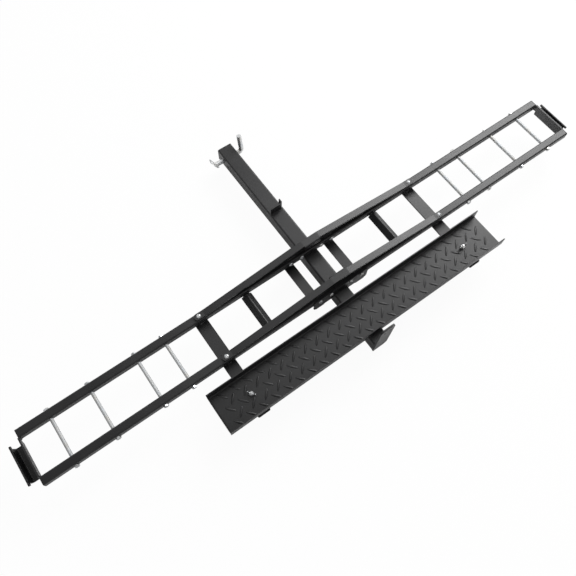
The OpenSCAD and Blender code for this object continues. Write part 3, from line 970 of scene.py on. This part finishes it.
@dataclass
class Welds:
    """Rippled fillet welds under the powder coat."""

    shank_radius: float = 2.3
    track_radius: float = 1.9
    bar_radius: float = 2.0
    bow_radius: float = 1.7
    # Spacing of the ripples, and as shares of the bead's radius: the radius between ripples, the radius
    # at both ends, and the first ripple's distance from the end
    ripple: float = 1.6
    trough_share: float = 0.86
    end_share: float = 0.7
    end_inset: float = 0.4
    facets: int = 12
    # Place and length of each joint's beads
    end_plate_y: float = -791.2
    end_plate_run: float = 42.0
    stop_x: float = -1.0
    stop_y: tuple[float, float] = (-269.8, -274.2)
    stop_run: float = 40.0
    rung_x: float = 239.0
    rung_off: float = 7.0
    rung_z: float = 35.8
    rung_slope_deg: float = 45.0
    rung_run: float = 15.0
    hook_x: float = 950.6
    hook_z: float = 43.0
    hook_lean_deg: float = 6.0
    hook_inset: float = 0.4
    hook_run: float = 22.0
    bar_x: float = 75.2
    bar_z: float = CROSS_BAR_TOP + 0.2
    bar_inset: float = 0.3
    bar_run: float = 27.0
    bow_x: tuple[float, ...] = (-310.0, -190.0, -70.0, 70.0, 190.0, 310.0)
    bow_off: float = 1.7
    bow_lift: float = 0.1
    bow_run: float = 32.0
    smooth_deg: float = 60.0

    def bead(self, length: float, radius: float) -> bpy.types.Object:
        """Model one straight bead along Z, centred.

        Args:
            length: Length of the bead in millimetres.
            radius: Radius of the bead in millimetres.

        Returns:
            Rippled rod with rounded ends.
        """
        count = int(length / self.ripple)
        reach = length / 2 - radius * self.end_inset
        profile = [(0.0, -length / 2)]
        for i in range(count + 1):
            share = 1.0 if i % 2 else self.trough_share
            taper = self.end_share if i in (0, count) else 1.0
            profile.append((radius * taper * share, 2 * reach * i / count - reach))
        profile.append((0.0, length / 2))
        return lathe(profile, self.facets)

    def shank_beads(self) -> list[bpy.types.Object]:
        """Weld the end plate and the stop to the top of the shank.

        Returns:
            Beads of each joint.
        """
        along = turned(90, "Y")
        plate = [place(0, self.end_plate_y, TUBE_TOP, along)]
        stop = [place(self.stop_x, y, TUBE_TOP, along) for y in self.stop_y]
        return [copies(self.bead(self.end_plate_run, self.shank_radius), plate),
                copies(self.bead(self.stop_run, self.shank_radius), stop)]

    def track_beads(self) -> list[bpy.types.Object]:
        """Weld the rungs and the end hooks to the inner faces of the rails.

        Returns:
            Beads of each joint.
        """
        inner = (NEAR_RAIL + RAIL_SIZE / 2, FAR_RAIL - RAIL_SIZE / 2)
        rungs = [place(side * (self.rung_x + slope * self.rung_off), y, self.rung_z,
                       turned(-slope * self.rung_slope_deg, "Y"))
                 for side in SIDES for slope in (-1, 1) for y in inner]
        hooks = [place(side * self.hook_x, y, self.hook_z, turned(-side * self.hook_lean_deg, "Y"))
                 for side in SIDES for y in (inner[0] + self.hook_inset, inner[1] - self.hook_inset)]
        return [copies(self.bead(self.rung_run, self.track_radius), rungs),
                copies(self.bead(self.hook_run, self.track_radius), hooks)]

    def cradle_beads(self) -> list[bpy.types.Object]:
        """Weld the cross bars to the cradle plates, and the bows' webs to the tops of the rails.

        Returns:
            Beads of each joint.
        """
        along = turned(90, "Y")
        bars = [place(side * self.bar_x, y, self.bar_z, along)
                for side in SIDES for y in (NEAR_FACE + self.bar_inset, FAR_FACE - self.bar_inset)]
        bows = [place(x, y + offset, RAIL_TOP + self.bow_lift, along)
                for y in (NEAR_RAIL, FAR_RAIL) for offset in (-self.bow_off, self.bow_off)
                for x in self.bow_x]
        return [copies(self.bead(self.bar_run, self.bar_radius), bars),
                copies(self.bead(self.bow_run, self.bow_radius), bows)]

    def build(self, dresser: Dresser) -> None:
        """Lay all the welds.

        Args:
            dresser: Finishes and attachment.
        """
        beads = self.shank_beads() + self.track_beads() + self.cradle_beads()
        dresser.hand_over(join(beads), "weld_seams", "frame", Slot.POWDER, smooth_deg=self.smooth_deg)


@dataclass(frozen=True)
class Lamp:
    """One soft area lamp: where it hangs and what it faces in metres, its size and its power in watts."""

    name: str
    spot: Point
    aim: Point
    size: tuple[float, float]
    power: float

    def hang(self) -> None:
        """Add the lamp to the scene."""
        data = bpy.data.lights.new(self.name, "AREA")
        data.shape = "RECTANGLE"
        data.size, data.size_y = self.size
        data.energy = self.power
        lamp = bpy.data.objects.new(self.name, data)
        facing = (Vector(self.spot) - Vector(self.aim)).to_track_quat("Z", "Y")
        lamp.matrix_world = Matrix.Translation(Vector(self.spot)) @ facing.to_matrix().to_4x4()
        bpy.context.scene.collection.objects.link(lamp)


@dataclass
class Studio:
    """White floor, softly lit room, lamps and the camera of the photograph."""

    azimuth_deg: float = -38.053
    elevation_deg: float = 66.934
    roll_deg: float = 2.564
    focal_px: float = 573.86
    picture_px: int = 576
    sensor_mm: float = 36.0
    station_mm: Point = (-535.67, -1032.23, 1593.32)
    clip_near_m: float = 0.05
    clip_far_m: float = 60.0
    floor_size_m: float = 40.0
    floor_z: float = -62.5
    floor_paint: str = "#F2F2F2"
    # Share of plain white in the floor as the camera sees it, and as metal mirrors it
    floor_white: float = 0.95
    floor_mirrored: float = 0.05
    # Upward and backward part of a direction, where the ceiling and the back wall begin and are full
    ceiling_from: tuple[float, float] = (0.1, 0.75)
    back_from: tuple[float, float] = (0.45, 0.85)
    horizon_glow: float = 0.2
    ceiling_glow: float = 0.33
    back_glow: float = 0.8
    sky_white: float = 0.97
    lamps: tuple[Lamp, ...] = (
        Lamp("key_softbox", (3.5, 0.8, 3.0), (0.2, -0.5, 0.0), (2.5, 2.4), 190.0),
        Lamp("overhead_panel", (0.5, 0.35, 2.6), (0.0, -0.5, 0.0), (1.7, 1.4), 10.0),
        Lamp("left_fill", (-3.2, -2.4, 2.2), (0.0, -0.5, 0.0), (2.0, 2.0), 15.0),
        Lamp("front_fill", (0.9, -3.6, 1.8), (0.2, -0.5, 0.0), (2.4, 1.4), 14.0),
    )

    def camera(self) -> None:
        """Set the camera to the photograph's place, direction and angle of view."""
        az, el, roll = (math.radians(v) for v in (self.azimuth_deg, self.elevation_deg, self.roll_deg))
        back = Vector((math.sin(az) * math.cos(el), -math.cos(az) * math.cos(el), math.sin(el)))
        level = Vector((0, 0, 1)).cross(back).normalized()
        upright = back.cross(level)
        right = level * math.cos(roll) + upright * math.sin(roll)
        up = upright * math.cos(roll) - level * math.sin(roll)
        data = bpy.data.cameras.new("photo_camera")
        data.sensor_width = self.sensor_mm
        data.sensor_fit = "HORIZONTAL"
        data.lens = self.focal_px / self.picture_px * self.sensor_mm
        data.clip_start = self.clip_near_m
        data.clip_end = self.clip_far_m
        camera = bpy.data.objects.new("photo_camera", data)
        turn = Matrix((right, up, back)).transposed().to_4x4()
        camera.matrix_world = Matrix.Translation(Vector(self.station_mm) * MM) @ turn
        bpy.context.scene.collection.objects.link(camera)
        bpy.context.scene.camera = camera

    def floor(self) -> None:
        """Lay the pale floor; to the camera it is mostly plain white, with a faint shadow."""
        bpy.ops.object.select_all(action="DESELECT")
        bpy.ops.mesh.primitive_plane_add(size=self.floor_size_m, location=(0, 0, self.floor_z * MM))
        ground = bpy.context.object
        ground.name = "studio_floor"
        material, tree = new_material("matt white studio floor")
        seen = add_node(tree, "ShaderNodeLightPath")
        paint = add_node(tree, "ShaderNodeBsdfDiffuse", {"Color": linear(self.floor_paint)})
        glow = add_node(tree, "ShaderNodeEmission", {"Color": grey(1.0), "Strength": 1.0})
        to_eye = add_node(tree, "ShaderNodeMath", {"operation": "MULTIPLY", 1: self.floor_white},
                          {0: seen.outputs["Is Camera Ray"]})
        mirrored = add_node(tree, "ShaderNodeMath", {"operation": "MAXIMUM"},
                            {0: seen.outputs["Is Glossy Ray"], 1: seen.outputs["Is Transmission Ray"]})
        share = add_node(tree, "ShaderNodeMath", {"operation": "MULTIPLY_ADD", 1: self.floor_mirrored},
                         {0: mirrored.outputs["Value"], 2: to_eye.outputs["Value"]})
        mix = add_node(tree, "ShaderNodeMixShader",
                       links={0: share.outputs["Value"], 1: paint.outputs["BSDF"],
                              2: glow.outputs["Emission"]})
        add_node(tree, "ShaderNodeOutputMaterial", links={"Surface": mix.outputs["Shader"]})
        ground.data.materials.append(material)

    def room(self) -> None:
        """Set the world: white to the camera, and a softly lit room to the carrier."""
        world = bpy.data.worlds.new("studio_world")
        world.use_nodes = True
        world.node_tree.nodes.clear()
        tree = world.node_tree
        seen = add_node(tree, "ShaderNodeLightPath")
        sky = add_node(tree, "ShaderNodeTexCoord").outputs["Generated"]
        split = add_node(tree, "ShaderNodeSeparateXYZ", links={0: sky})
        # The room is a little darker towards the horizon than overhead, and a pale wall in front of the
        # shank's mouth lights the sides that the photograph doesn't show.
        low, high = self.ceiling_from
        ceiling = add_node(tree, "ShaderNodeMapRange",
                           {"From Min": low, "From Max": high, "To Min": self.horizon_glow,
                            "To Max": self.ceiling_glow}, {"Value": split.outputs["Z"]})
        start, stop = self.back_from
        back = add_node(tree, "ShaderNodeMapRange",
                        {"From Min": start, "From Max": stop, "To Min": 0.0, "To Max": self.back_glow},
                        {"Value": split.outputs["Y"]})
        level = add_node(tree, "ShaderNodeMath", {"operation": "ADD"},
                         {0: ceiling.outputs["Result"], 1: back.outputs["Result"]})
        lit = add_node(tree, "ShaderNodeBackground", {"Color": grey(1.0)},
                       {"Strength": level.outputs["Value"]})
        white = add_node(tree, "ShaderNodeBackground", {"Color": grey(1.0), "Strength": self.sky_white})
        mix = add_node(tree, "ShaderNodeMixShader",
                       links={0: seen.outputs["Is Camera Ray"], 1: lit.outputs["Background"],
                              2: white.outputs["Background"]})
        add_node(tree, "ShaderNodeOutputWorld", links={"Surface": mix.outputs["Shader"]})
        bpy.context.scene.world = world

    def build(self) -> None:
        """Set up camera, floor, room and lamps."""
        self.camera()
        self.floor()
        self.room()
        for lamp in self.lamps:
            lamp.hang()
        bpy.context.scene.view_settings.view_transform = "Standard"


def main() -> None:
    """Build the studio and dress the carrier, piece by piece."""
    logging.basicConfig(level=logging.INFO, format="%(message)s")
    Studio().build()
    # Drawn rod and spring wire keep a duller zinc than pressed and turned pieces do.
    drawn = BrightZinc("dull zinc on drawn rod", cool="#C4C7CA", warm="#C6C5C2", roughness=(0.68, 0.8))
    dresser = Dresser(PowderCoat().make(), BrightZinc().make(), MouldedPlug().make(), drawn.make())
    dresser.dress_frame()
    for part in (Fasteners(), CrossRods(), RampStuds(), WingNuts(), SpringClip(), TreadPlate(), Welds()):
        log.info("building %s", type(part).__name__)
        part.build(dresser)


if __name__ == "__main__":
    main()
